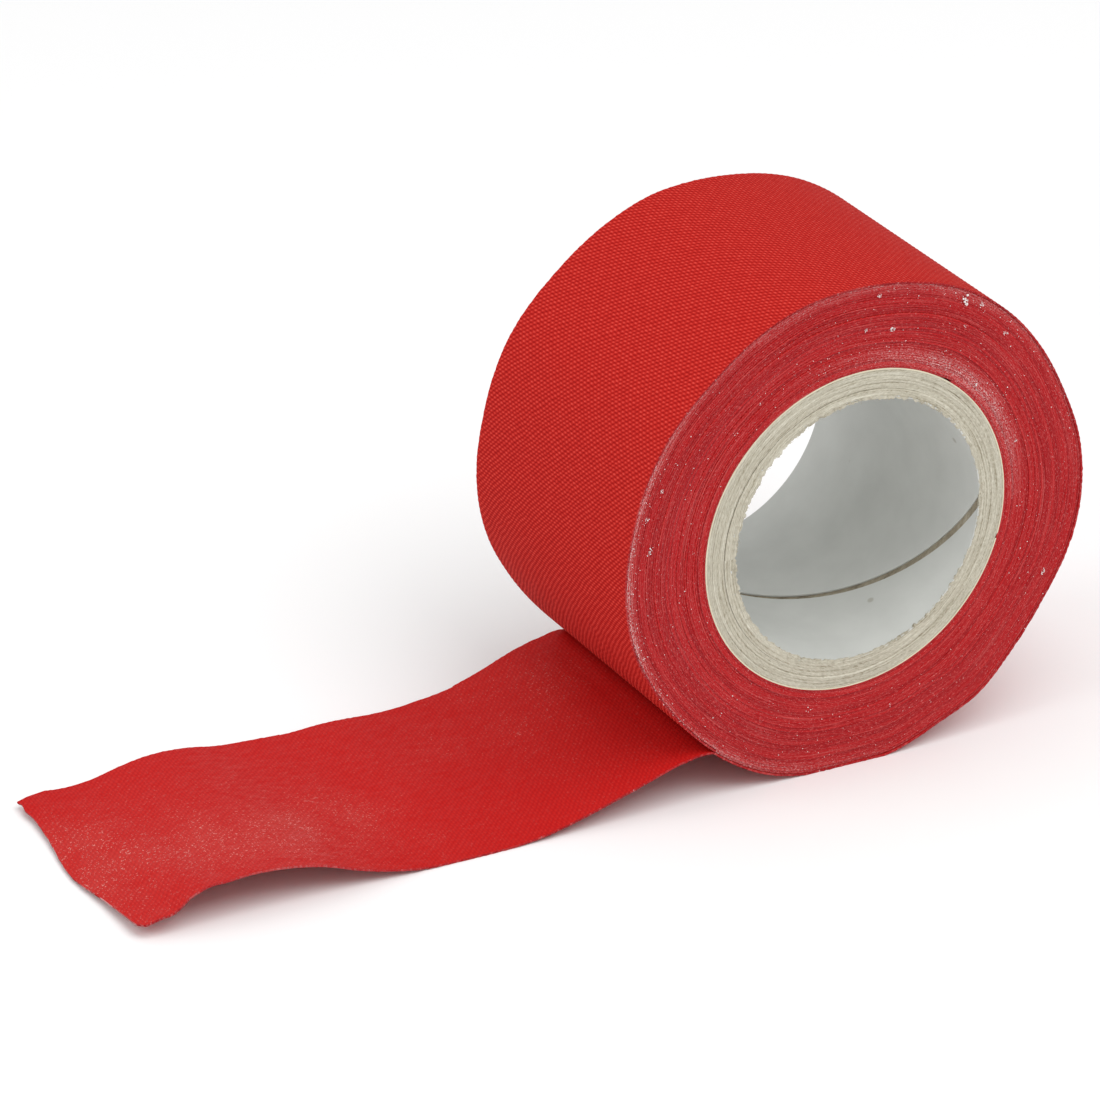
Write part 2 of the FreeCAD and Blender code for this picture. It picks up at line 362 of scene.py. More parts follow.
def edge_material():
    """The cut edges of the tape: crimson layers, dashes of cut thread and pale dust."""
    material, tree, shader = new_material("cut_edges")
    place, _, _, turn = tape_place(tree)
    by_turn = add_node(tree, "ShaderNodeTexWhiteNoise", {"W": calc(tree, "FLOOR", turn)},
                       noise_dimensions="1D").outputs["Value"]
    streaks = noise_at(tree, stretched(tree, place, (0.12, 0.0, 2.3)), 1.0, 3.0)
    shade = calc(tree, "MULTIPLY_ADD", by_turn, 0.30, calc(tree, "MULTIPLY", streaks, 0.70))
    plain = mix_colour(tree, rescale(tree, shade, 0.3, 0.6), EDGE_DARK, EDGE_RED)
    frayed = noise_at(tree, stretched(tree, place, (0.07, 0.0, 1.1)), 1.0, 2.0, 0.6)
    layered = mix_colour(tree, rescale(tree, frayed, 0.55, 0.70, 0.0, 0.55), plain, EDGE_PALE)
    dashes = noise_at(tree, stretched(tree, place, (1.6, 0.0, 1.9)), 1.0, 3.0, 0.7)
    dashed = mix_colour(tree, rescale(tree, dashes, 0.53, 0.66, 0.0, 0.8), layered, EDGE_PALE)
    dust = add_node(tree, "ShaderNodeAttribute", attribute_name="dust").outputs["Fac"]
    fine = noise_at(tree, stretched(tree, place, (2.8, 0.0, 1.9)), 1.0, 3.0, 0.8)
    scattered = rescale(tree, fine, 0.65, 0.67, 0.0, 0.9)
    clumps = noise_at(tree, stretched(tree, place, (0.35, 0.0, 0.6)), 1.0, 2.0)
    clumped = calc(tree, "MULTIPLY", dust, rescale(tree, clumps, 0.35, 0.65, 0.35, 1.0))
    settled = calc(tree, "MULTIPLY", clumped, rescale(tree, fine, 0.47, 0.58))
    pale = calc(tree, "ADD", scattered, settled, clamp=True)
    tree.links.new(mix_colour(tree, pale, dashed, FROST), shader.inputs["Base Color"])
    tree.links.new(bump_from(tree, dashes, 0.05 * MM), shader.inputs["Normal"])
    shader.inputs["Roughness"].default_value = 0.8
    shader.inputs["Specular IOR Level"].default_value = 0.15
    return material


edges = edge_material()
print("made", edges.name, "with", len(edges.node_tree.nodes), "nodes")

# %% [markdown]
# The core is paper. Its plies are grey board, cut across with a dull knife: fibrous, with
# fine layer lines. The liner inside the bore is smooth and white, and the wrap outside is
# thin and yellowish. The board that shows through the liner's seam gets a darker copy of the
# board finish, as painted shade in the seam's gap. The board's pattern must run round the
# core, so the place is first unrolled: the arc round the axis, the distance along it, and the
# radius. The scales are so many to the metre.
# %% Board and paper
BOARD_GREY = (0.50, 0.465, 0.37, 1)
BOARD_DARK = (0.27, 0.235, 0.165, 1)
BOARD_LIGHT = (0.68, 0.65, 0.545, 1)
# A darker copy of the board, as painted shade where the board shows through the liner's seam.
SEAM_SHADE_GREY = (0.33, 0.285, 0.21, 1)
SEAM_SHADE_DARK = (0.17, 0.14, 0.10, 1)
SEAM_SHADE_LIGHT = (0.45, 0.40, 0.31, 1)
LINER_WHITE = (0.62, 0.63, 0.60, 1)
WRAP_CREAM = (0.72, 0.66, 0.50, 1)


def board_material(name, dark_part, main_part, light_part):
    """Uncoated board: fibres that run round the core, layer lines and dark flecks."""
    material, tree, shader = new_material(name)
    place = add_node(tree, "ShaderNodeTexCoord").outputs["Object"]
    parts = add_node(tree, "ShaderNodeSeparateXYZ", {0: place}).outputs
    squares = calc(tree, "ADD", calc(tree, "MULTIPLY", parts[0], parts[0]),
                   calc(tree, "MULTIPLY", parts[2], parts[2]))
    radius = calc(tree, "SQRT", squares)
    arc = calc(tree, "MULTIPLY", calc(tree, "ARCTAN2", parts[2], parts[0]), radius)
    unrolled = add_node(tree, "ShaderNodeCombineXYZ", {0: arc, 1: parts[1], 2: radius}).outputs[0]
    layers = noise_at(tree, stretched(tree, unrolled, (75.0, 900.0, 4600.0)), 1.0, 3.0, 0.65)
    fibres = noise_at(tree, stretched(tree, unrolled, (1700.0, 2600.0, 4200.0)), 1.0, 3.0, 0.8)
    shade = calc(tree, "ADD", calc(tree, "MULTIPLY", layers, 0.55), calc(tree, "MULTIPLY", fibres, 0.45))
    dark = mix_colour(tree, rescale(tree, shade, 0.37, 0.48), dark_part, main_part)
    light = mix_colour(tree, rescale(tree, shade, 0.5, 0.62), dark, light_part)
    flecks = noise_at(tree, stretched(tree, unrolled, (1100.0, 2000.0, 2600.0)), 1.0, 1.0)
    flecked = mix_colour(tree, rescale(tree, flecks, 0.72, 0.78, 0.0, 0.8), light, dark_part)
    tree.links.new(flecked, shader.inputs["Base Color"])
    tree.links.new(bump_from(tree, shade, 0.08 * MM), shader.inputs["Normal"])
    shader.inputs["Roughness"].default_value = 0.95
    shader.inputs["Specular IOR Level"].default_value = 0.15
    return material


def paper_material(name, colour, roughness):
    """Thin paper with a faint cloudy look-through and a few dark specks."""
    material, tree, shader = new_material(name)
    place = add_node(tree, "ShaderNodeTexCoord").outputs["Object"]
    shaded = tuple(0.86 * part for part in colour[:3]) + (1,)
    clouds = rescale(tree, noise_at(tree, place, 180.0, 4.0), 0.35, 0.7)
    cloudy = mix_colour(tree, calc(tree, "MULTIPLY", clouds, 0.5), colour, shaded)
    cells = add_node(tree, "ShaderNodeTexVoronoi", {"Vector": place, "Scale": 110.0}).outputs["Distance"]
    specks = rescale(tree, cells, 0.035, 0.06, 0.45, 0.0)
    specked = mix_colour(tree, specks, cloudy, BOARD_DARK)
    tree.links.new(specked, shader.inputs["Base Color"])
    grain = noise_at(tree, place, 1500.0, 3.0)
    tree.links.new(bump_from(tree, grain, 0.01 * MM), shader.inputs["Normal"])
    shader.inputs["Roughness"].default_value = roughness
    shader.inputs["Specular IOR Level"].default_value = 0.35
    return material


board = board_material("grey_board", BOARD_DARK, BOARD_GREY, BOARD_LIGHT)
seam_shade_board = board_material("seam_shade_board", SEAM_SHADE_DARK, SEAM_SHADE_GREY, SEAM_SHADE_LIGHT)
liner_paper = paper_material("liner_paper", LINER_WHITE, 0.5)
wrap_paper = paper_material("wrap_paper", WRAP_CREAM, 0.8)
print("made", board.name, seam_shade_board.name, liner_paper.name, wrap_paper.name)

# %% [markdown]
# The strip leaves the roll at one angle, peels over a small crest, runs down to the floor,
# lies flat, and rises over a low hump to its end. The path below is the one that the CAD
# model follows, as runs and tangent arcs, so the looks stay on the parts that carry them.
# It is sampled finely once, and every tape piece then asks it for places.
# %% Path of the tape
LEAVE_ANGLE = 234.0
CREST_RADIUS = 4.5 * MM
SLOPE_ANGLE = 20.0
FOOT_RADIUS = 47.0 * MM
FLAT_RUN = 10.0 * MM
RISE_RADIUS = 40.0 * MM
HUMP_ANGLE = 18.6
HUMP_RADIUS = 29.0 * MM
END_ANGLE = 12.0
END_RUN = 15.5 * MM
PATH_STEP = 0.02 * MM
glue_radius = outer_radius - TAPE_THICK


def unit(degrees):
    """Unit vector in the XZ plane, from +X towards +Z."""
    return np.array([math.cos(math.radians(degrees)), math.sin(math.radians(degrees))])


def tail_pieces(start, heading):
    """The free tail as (length, turn) pieces, from where it leaves the roll."""
    crest = (CREST_RADIUS * math.radians(180 + SLOPE_ANGLE - heading), 180 + SLOPE_ANGLE - heading)
    centre = start + CREST_RADIUS * unit(heading + 90)
    slope_top = centre - CREST_RADIUS * unit(180 + SLOPE_ANGLE + 90)
    foot_drop = FOOT_RADIUS * (1 - math.cos(math.radians(SLOPE_ANGLE)))
    fall = slope_top[1] - (floor_level + TAPE_THICK) - foot_drop
    return [crest, (fall / math.sin(math.radians(SLOPE_ANGLE)), 0),
            (FOOT_RADIUS * math.radians(SLOPE_ANGLE), -SLOPE_ANGLE), (FLAT_RUN, 0),
            (RISE_RADIUS * math.radians(HUMP_ANGLE), -HUMP_ANGLE),
            (HUMP_RADIUS * math.radians(HUMP_ANGLE + END_ANGLE), HUMP_ANGLE + END_ANGLE), (END_RUN, 0)]


def sample_tail():
    """Fine samples of the tail: lengths, points on the adhesive face and headings."""
    point = glue_radius * unit(LEAVE_ANGLE)
    heading = LEAVE_ANGLE - 90
    lengths, points, headings = [0.0], [point], [heading]
    for length, turn in tail_pieces(point, heading):
        count = max(2, round(length / PATH_STEP))
        for _ in range(count):
            heading += turn / count / 2
            point = point + unit(heading) * length / count
            heading += turn / count / 2
            lengths.append(lengths[-1] + length / count)
            points.append(point)
            headings.append(heading)
    return np.array(lengths), np.array(points), np.array(headings)


tail_lengths, tail_points, tail_headings = sample_tail()
print("the tail's path is", round(tail_lengths[-1] / MM, 1), "mm long and ends at x",
      round(tail_points[-1, 0] / MM, 1), "z", round(tail_points[-1, 1] / MM, 1))

# %% [markdown]
# On the roll, each turn holds its radius for half a turn and climbs one spacing in the other
# half. The strip starts as a step on the core, which every turn on top softens: the climb is
# short at the first turn, and takes 9 percent more room at each one after, up to the half
# turn. The finished roll isn't quite round either. Its soft lumps are given by angle, in
# millimetres, and fade out towards the core. A noise could make lumps, but not at set places.
# %% The lumpy spiral
FIRST_CLIMB = 0.035
CLIMB_GROWTH = 1.09
LUMP_ANGLES = [234, 242, 252, 262, 270, 281, 294, 306, 318, 330, 342, 352, 368, 384, 398, 410,
               425, 445, 468, 482, 492, 504, 530, 546, 560, 570, 582, 594]
LUMPS = [0, 0.3, 0.6, 0.4, 0, 0.55, 0.25, 0.75, 0.0, -0.15, 0.35, 0.6, 0.3, -0.45, -0.35, -0.05,
         0.15, 0.05, 0.5, 0.2, 0, 0.3, 0.1, 0.3, 0.15, -0.2, -0.3, 0]
half_turns = round(2 * (glue_radius - core_radius) / TURN_SPACING)
all_turns = half_turns / 2 + 0.5


def smooth_between(places, heights, x):
    """A smooth curve through heights at places: each gap is a cubic with matching slopes."""
    order = np.argsort(places)
    places, heights = np.array(places, float)[order], np.array(heights, float)[order]
    slopes = np.gradient(heights, places)
    index = np.clip(np.searchsorted(places, x) - 1, 0, len(places) - 2)
    gap = places[index + 1] - places[index]
    t = np.clip((x - places[index]) / gap, 0, 1)
    return ((2 * t**3 - 3 * t**2 + 1) * heights[index] + (t**3 - 2 * t**2 + t) * gap * slopes[index]
            + (3 * t**2 - 2 * t**3) * heights[index + 1] + (t**3 - t**2) * gap * slopes[index + 1])


def lump(angle):
    """How far the outermost turn stands off a true circle, in metres, kept above the floor."""
    onwards = (angle - LEAVE_ANGLE) % 360 + LEAVE_ANGLE
    soft = smooth_between(LUMP_ANGLES, LUMPS, onwards) * MM
    above_floor = outer_radius / np.maximum(-np.sin(np.radians(angle)), 0.5) - outer_radius
    return np.minimum(soft, above_floor)


def glue_radius_at(turns_left, angle):
    """Radius of the adhesive face, so many turns before the tape leaves the roll."""
    halves = np.floor(2 * turns_left)
    resting = glue_radius - halves * TURN_SPACING / 2
    wound_before = all_turns - turns_left
    step_width = np.minimum(FIRST_CLIMB * CLIMB_GROWTH ** wound_before, 1)
    climb = np.clip((halves - 2 * turns_left + step_width) / step_width, 0, 1)
    growing = resting + TURN_SPACING * (3 * climb**2 - 2 * climb**3 - 0.5)
    exact = np.where(halves % 2 == 0, resting, growing)
    outward = (exact - core_radius) / (glue_radius - core_radius)
    return exact + lump(angle) * outward


print("the spiral has", all_turns, "turns, and lumps up to", max(LUMPS), "mm high")

# %% [markdown]
# `tape_at` gives the adhesive face and the direction out through the cloth for any length
# along the strip. Lengths are measured from where the tape leaves the roll, negative on the
# roll. Real tape doesn't lie as evenly as its path: the near edge of the hump stands higher
# than the far edge, and the corners curl. `lift` adds that, as heights in millimetres at a few
# places along the two edges of the tail, with a smooth curve between them, and lets the end
# sag between its edges. A cloth simulation could lay the tail down too, but it would find its
# own hump, and this tail has a set shape.
# %% Places on the tape
LIFT_PLACES = [-20.4, -22, -24, -26, -29, -34, -38, -45, -50, -57, -62, -68, -76, -84, -88,
               -92, -95, -97.5, -99.6, -101.8, -104.5]
NEAR_LIFTS = [0, -0.55, -0.8, -0.5, -0.3, -0.15, 0.1, 0.05, 0, 0, 0.1, 0.65, 1.2, 1.8, 2.3,
              2.8, 3.3, 2.8, 1.7, 1.8, 1.7]
FAR_LIFTS = [0, -0.5, -0.9, -0.6, -0.35, -0.5, -0.4, 0.2, 0.6, 1.0, 0.8, 0.7, -0.45, -1.2, -1.6,
             -1.8, -1.5, -0.9, -0.2, 0.5, 0.9]
END_SAG = 0.9
SAG_START = 70
SAG_RUN = 30


def lift(x, y):
    """How far the tail lies above its path, in metres, at a place on the floor."""
    near = smooth_between(LIFT_PLACES, NEAR_LIFTS, x / MM)
    far = smooth_between(LIFT_PLACES, FAR_LIFTS, x / MM)
    share = y / half_width
    sag = -END_SAG * (1 - share**2) * np.clip((-x / MM - SAG_START) / SAG_RUN, 0, 1)
    return ((near + far) / 2 + (far - near) / 2 * share + sag) * MM


def tape_at(lengths, y):
    """Points on the adhesive face (x, z), and directions out through the cloth."""
    tail_x = np.interp(lengths, tail_lengths, tail_points[:, 0])
    tail_z = np.interp(lengths, tail_lengths, tail_points[:, 1])
    outward = np.radians(np.interp(lengths, tail_lengths, tail_headings) + 90)
    tail_z = np.maximum(tail_z + lift(tail_x, y), floor_level + TAPE_THICK)
    angle = LEAVE_ANGLE - np.degrees(lengths / outer_radius)
    radius = glue_radius_at(np.maximum(-lengths, 0) / (2 * math.pi * outer_radius), angle)
    on_roll = lengths < 0
    x = np.where(on_roll, radius * np.cos(np.radians(angle)), tail_x)
    z = np.where(on_roll, radius * np.sin(np.radians(angle)), tail_z)
    outward = np.where(on_roll, np.radians(angle), outward)
    return x, z, np.cos(outward), np.sin(outward)


print("the hump's edges stand", max(NEAR_LIFTS), "and", max(FAR_LIFTS), "mm above the path at most")

# %% [markdown]
# The tape is made in mesh code, because each vertex has to keep to its thread, which a plane
# bent along a curve wouldn't give. These helpers turn lists of corners and faces into a piece.
# A sheet is rings of vertices, one ring at each station along the tape, joined into quads. Its
# faces take one of three finishes by number: 0 is cloth, 1 is adhesive and 2 is a cut edge.
# %% Helpers for a sheet
def mesh_object(name, corners, faces, finishes, face_finishes):
    """A mesh object at the origin, with its materials and which face has which."""
    mesh = bpy.data.meshes.new(name)
    mesh.from_pydata(corners.tolist(), [], faces)
    for finish in finishes:
        mesh.materials.append(finish)
    mesh.polygons.foreach_set("material_index", face_finishes)
    made = bpy.data.objects.new(name, mesh)
    bpy.context.scene.collection.objects.link(made)
    return made


def add_attribute(piece, name, kind, values):
    """A value for each vertex, which a material reads by name."""
    made = piece.data.attributes.new(name, kind, "POINT")
    made.data.foreach_set("vector" if kind == "FLOAT_VECTOR" else "value", np.ravel(values))


def smooth_faces(piece, degrees=40):
    """Smooth shading, but not across edges sharper than the angle."""
    deselect_all()
    piece.select_set(True)
    bpy.context.view_layer.objects.active = piece
    bpy.ops.object.shade_smooth_by_angle(angle=math.radians(degrees))


def ring_faces(stations, around):
    """Quads between rings of vertices, and the two end faces as strips of quads."""
    faces = []
    for station in range(stations - 1):
        for k in range(around):
            a, b = station * around + k, station * around + (k + 1) % around
            faces.append((a, b, b + around, a + around))
    for first in (0, (stations - 1) * around):
        for k in range(around // 2 - 1):
            quad = (first + k, first + around - 1 - k, first + around - 2 - k, first + k + 1)
            faces.append(quad if first == 0 else quad[::-1])
    return faces


print("3 rings of 8 vertices make", len(ring_faces(3, 8)), "faces")

# %% [markdown]
# Two things vary along a real tape. Its long edges wander a little, as slit cloth does: a
# fine roughness at each thread and a slow drift over a dozen threads. And dust has settled on
# the adhesive in three patches. Each patch is a product of two smooth hills, one along the
# tape and one across it.
# %% Slit edges and settled dust
EDGE_WANDER = 0.05 * MM
WANDER_ROWS = 12


def slit_edge(lengths, seed):
    """How far a slit edge wanders from straight, in metres, at each length."""
    draw = np.random.default_rng(seed)
    rough = draw.normal(0, 0.5, len(lengths))
    marks = np.arange(0, len(lengths) + WANDER_ROWS, WANDER_ROWS)
    slow = np.interp(np.arange(len(lengths)), marks, draw.normal(0, 1, len(marks)))
    return EDGE_WANDER * (rough + slow)


def hill(value, middle, width):
    """1 at the middle, and falling smoothly to 0 on both sides."""
    return np.exp(-((value - middle) / width) ** 2)


def settled_dust(along, across):
    """How much dust lies on the tape, 0 to 1: three patches on the tail, and a little elsewhere."""
    s, y = along / MM, across / MM
    slope = 0.22 * hill(s, 16, 12) * hill(y, 8, 10)
    hump = 0.9 * hill(s, 60, 14) * hill(y, -6, 10)
    end = 0.8 * hill(s, 84, 8) * hill(y, -2, 12)
    return np.clip(0.08 + slope + hump + end, 0, 1)


print("dust in the middle of the hump:", round(float(settled_dust(60 * MM, -6 * MM)), 2))

# %% [markdown]
# Every stretch of tape is built the same way, as a closed sheet with two faces, the cloth
# outside and the adhesive inside. One vertex sits on each crossing of the weave, and stands
# high or low there, so the weave is in the shape and not only in the shading.
# %% A stretch of tape as a mesh
WEAVE_RISE = 0.022 * MM
GLUE_INSET = 0.06 * MM


def tape_stretch(name, lengths, seed, end_shape=None):
    """A stretch of tape over the given lengths, as one closed sheet."""
    rows = np.linspace(-half_width, half_width, THREADS_ACROSS + 1)
    along, across = np.meshgrid(lengths, rows, indexing="ij")
    if end_shape is not None:
        share = (along - along[0]) / (along[-1] - along[0])
        along = along + share**3 * end_shape(across)
    side = across / half_width
    near_slit, far_slit = slit_edge(lengths, seed)[:, None], slit_edge(lengths, seed + 1)[:, None]
    across = across + np.abs(side)**8 * np.where(side > 0, far_slit, -near_slit)
    x, z, out_x, out_z = tape_at(along, across)
    crossing = np.cos(math.pi * along / THREAD_ALONG) * np.cos(math.pi * across / THREAD_ACROSS)
    rise = WEAVE_RISE * crossing
    cloth_face = np.stack([x + (TAPE_THICK + rise) * out_x, across, z + (TAPE_THICK + rise) * out_z], -1)
    inset = across * (1 - GLUE_INSET / half_width)
    glue_face = np.stack([x + rise * out_x / 2, inset, z + rise * out_z / 2], -1)
    ring = np.concatenate([cloth_face, glue_face[:, ::-1]], axis=1)
    around = ring.shape[1]
    faces = ring_faces(len(lengths), around)
    slots = [0 if k < THREADS_ACROSS else 2 if k in (THREADS_ACROSS, around - 1) else 1
             for k in range(around)]
    face_slots = slots * (len(lengths) - 1) + [2] * (len(faces) - (len(lengths) - 1) * around)
    piece = mesh_object(name, ring.reshape(-1, 3), faces, [cloth, adhesive, edges], face_slots)
    turn = np.full_like(along, half_turns * MM / 2)
    tape = np.stack([along, across, turn], -1) / MM
    add_attribute(piece, "tape", "FLOAT_VECTOR", np.concatenate([tape, tape[:, ::-1]], axis=1))
    tail_dust = settled_dust(along, across)
    add_attribute(piece, "dust", "FLOAT", np.concatenate([tail_dust, tail_dust[:, ::-1]], axis=1))
    smooth_faces(piece)
    print(name, "has", len(piece.data.polygons), "faces over",
          round((lengths[-1] - lengths[0]) / MM, 1), "mm of tape")
    return piece


# %% [markdown]
# The tail has three bending lines, so it is made of three stretches, and each crosses one of
# them. They meet halfway between two bending lines. The first stretch also holds the outermost
# turn: the cloth runs off the roll in one sheet, as on the real one. The tail's end was cut by
# hand, so it bulges, one corner is clipped, and a small hook of cloth stands beside it.
# %% The outermost turn and the tail
TAIL_END_X = -104.2 * MM


def length_at(x):
    """The length along the tail where its path is at x."""
    return float(np.interp(-x, -tail_points[:, 0], tail_lengths))


def crossings(begin, end):
    """Lengths of the thread crossings from begin to end."""
    return np.arange(round(begin / THREAD_ALONG), round(end / THREAD_ALONG) + 1) * THREAD_ALONG


def hand_cut_end(across):
    """How far the tail's cut end stands past a straight cut, in metres, across its width."""
    y = across / MM
    bulge = smooth_between([-20, -10, -2, 9, 20], [0.0, 0.4, 1.1, -0.4, -1.5], y)
    clipped = 3.8 * np.clip((y - 18.6) / 1.4, 0, 1) + 0.8 * np.clip((-y - 18.8) / 1.2, 0, 1)
    hook = 0.7 * hill(y, 18.6, 0.6) + 0.45 * hill(y, 16.4, 1.9)
    ripple = 0.02 * np.sin(y * 2.1)
    return (bulge - clipped + hook + ripple) * MM


first_bend, second_bend, third_bend = (bend_places[name] for name in
                                       ("peel_bend", "middle_bend", "outer_bend"))
one_turn = 2 * math.pi * outer_radius
first_seam = length_at((first_bend.x + second_bend.x) / 2)
second_seam = length_at((second_bend.x + third_bend.x) / 2)
outer_turn = tape_stretch("outer_turn_and_peel", crossings(-one_turn, first_seam), seed=11)
middle_tail = tape_stretch("tail_middle_stretch", crossings(first_seam, second_seam), seed=21)
tail_end = length_at(TAIL_END_X)
outer_tail = tape_stretch("tail_outer_stretch", crossings(second_seam, tail_end), seed=31,
                          end_shape=hand_cut_end)

# %% [markdown]
# The turns under the outermost one show only their edges, so their mesh is lean: eight
# vertices in each ring, and a ring every three degrees. Plain rings inside each other would be
# easier, but a roll is one spiral strip. Each turn stands out or back by its own small amount,
# and slowly changes on the way round, which gives the side of the roll its fine uneven lines.
# The section lists four vertices of each edge: how far through the tape each one is, and how
# far out it stands. The adhesive is first, and lies a little back from the edge of the cloth.
# %% The turns on the roll
RING_STEP = 3.0
TURN_JITTER = 0.05 * MM
RING_JITTER = 0.02 * MM
EDGE_BACK = 0.08 * MM
DISH_DEPTH = 0.10 * MM
TURN_SECTION = [(-0.14, -0.05), (0.31, -0.01), (0.65, 0.0), (1.0, -0.03)]
TURN_SLOTS = [2, 2, 2, 0, 2, 2, 2, 1]


def frost(angle, radius):
    """How dusty the side face is, 0 to 1: most in a band near the core and on the outer turns."""
    depth = (radius - core_radius) / (outer_radius - core_radius)
    band = 0.95 * hill(angle, 48, 38) * hill(depth, 0.13, 0.09)
    rim = (1.1 * hill(angle, 190, 60) + 0.4 * hill(angle, 60, 45)) * hill(depth, 0.96, 0.06)
    return np.clip(0.05 + band + rim, 0, 1)


def wound_turns(name):
    """All the turns under the outermost one, as one spiral sheet."""
    draw = np.random.default_rng(5)
    turns = np.arange(0, all_turns - 1 + 1e-9, RING_STEP / 360)
    left = all_turns - turns
    angle = (LEAVE_ANGLE + 360 * left) % 360
    radius = glue_radius_at(left, angle)
    number = turns.astype(int)
    own = draw.normal(0, TURN_JITTER, number.max() + 2)
    partway = turns - number
    stands = own[number] * (1 - partway) + own[number + 1] * partway
    stands = stands + RING_JITTER * draw.normal(0, 1, len(turns))
    dish = DISH_DEPTH * np.sin(radius / MM * 0.9)
    edge = half_width - EDGE_BACK + stands + dish
    profile = [(share, -1, back) for share, back in TURN_SECTION]
    profile += [(share, 1, back) for share, back in TURN_SECTION[::-1]]
    ring = np.empty((len(turns), len(profile), 3))
    tape = np.empty_like(ring)
    length = np.cumsum(np.radians(RING_STEP) * radius)
    for k, (share, side, back) in enumerate(profile):
        r = radius + share * TAPE_THICK
        ring[:, k, 0] = r * np.cos(np.radians(angle))
        ring[:, k, 1] = side * (edge + back * MM)
        ring[:, k, 2] = r * np.sin(np.radians(angle))
        tape[:, k] = np.stack([length / MM, ring[:, k, 1] / MM, turns + share], -1)
    faces = ring_faces(len(turns), len(profile))
    sides = (len(turns) - 1) * len(profile)
    face_slots = TURN_SLOTS * (len(turns) - 1) + [2] * (len(faces) - sides)
    piece = mesh_object(name, ring.reshape(-1, 3), faces, [cloth, adhesive, edges], face_slots)
    add_attribute(piece, "tape", "FLOAT_VECTOR", tape)
    add_attribute(piece, "dust", "FLOAT", np.repeat(frost(angle, radius), len(profile)))
    smooth_faces(piece, 50)
    print(name, "has", len(piece.data.polygons), "faces and", round(float(length[-1]), 2), "m of tape")
    return piece, float(length[-1])


inner_turns, wound_length = wound_turns("wound_turns")


inner_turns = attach(inner_turns, "roll")
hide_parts("wound_adhesive")
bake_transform(outer_turn)
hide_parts("wound_cloth", "tail_inner_cloth", "tail_inner_adhesive")
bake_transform(middle_tail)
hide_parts("tail_middle_cloth", "tail_middle_adhesive")
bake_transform(outer_tail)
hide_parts("tail_outer_cloth", "tail_outer_adhesive")
print("the strip is", round((wound_length + one_turn + tail_end) / MM), "mm long in all")

# %% [markdown]
# The core is wound of four plies of grey board. Each ply is turned as on a lathe: a circle is
# extruded from corner to corner of its section. Two cylinders and a Boolean could make a tube
# too, but extruding keeps the radii exact and gives even quads.
# %% Turning a ring
CORE_STEPS = 720


def turned(name, profile):
    """A closed ring about the Y axis, from the (radius, y) corners of its section."""
    deselect_all()
    radius, y = profile[0]
    bpy.ops.mesh.primitive_circle_add(vertices=CORE_STEPS, radius=radius, fill_type="NOTHING",
                                      location=(0, y, 0), rotation=(math.pi / 2, 0, 0))
    ring = bpy.context.object
    ring.name = name
    bpy.ops.object.transform_apply(location=True, rotation=True, scale=True)
    bpy.ops.object.mode_set(mode="EDIT")
    bpy.ops.mesh.select_all(action="SELECT")
    for next_radius, next_y in profile[1:] + profile[:1]:
        bpy.ops.mesh.extrude_region_move(TRANSFORM_OT_translate={"value": (0, next_y - y, 0)})
        growth = next_radius / radius
        bpy.ops.transform.resize(value=(growth, 1, growth), center_override=(0, 0, 0))
        radius, y = next_radius, next_y
    bpy.ops.mesh.select_all(action="SELECT")
    bpy.ops.mesh.remove_doubles(threshold=0.001 * MM)
    bpy.ops.mesh.normals_make_consistent(inside=False)
    bpy.ops.object.mode_set(mode="OBJECT")
    return ring


print("one step round the core is", round(2 * math.pi * core_radius / CORE_STEPS / MM, 2), "mm long")

# %% [markdown]
# A knife has cut the core to length. The cut is torn more than sliced, so the ends need relief
# that no bevel gives. Vertices picked by their place are moved in edit mode, or go in a vertex
# group that a Displace modifier roughens with a cloudy texture.
# %% Rough ends
def shift_where(piece, chosen, shift):
    """Move the vertices that a test picks, in edit mode."""
    deselect_all()
    bpy.context.view_layer.objects.active = piece
    bpy.ops.object.mode_set(mode="EDIT")
    bpy.ops.mesh.select_all(action="DESELECT")
    bpy.ops.object.mode_set(mode="OBJECT")
    for vertex in piece.data.vertices:
        vertex.select = chosen(vertex.co)
    bpy.ops.object.mode_set(mode="EDIT")
    bpy.ops.transform.translate(value=shift)
    bpy.ops.object.mode_set(mode="OBJECT")


def roughen(piece, chosen, direction, strength, grain):
    """Displace the vertices that a test picks, by a cloudy texture with a given grain."""
    group = piece.vertex_groups.new(name="rough")
    group.add([v.index for v in piece.data.vertices if chosen(v.co)], 1.0, "REPLACE")
    texture = bpy.data.textures.new("fibre_relief", "CLOUDS")
    texture.noise_scale = grain
    texture.noise_depth = 2
    relief = piece.modifiers.new("relief", "DISPLACE")
    relief.texture = texture
    relief.texture_coords = "LOCAL"
    relief.direction = direction
    relief.strength = strength
    relief.mid_level = 0.5
    relief.vertex_group = group.name
    bpy.context.view_layer.objects.active = piece
    bpy.ops.object.modifier_apply(modifier=relief.name)
    piece.vertex_groups.clear()


def ring_radius(place):
    """Distance of a place from the roll's axis."""
    return math.hypot(place.x, place.z)


def at_an_end(place):
    """Whether a place lies on either cut end of the core."""
    return abs(place.y) > half_width - 0.3 * MM
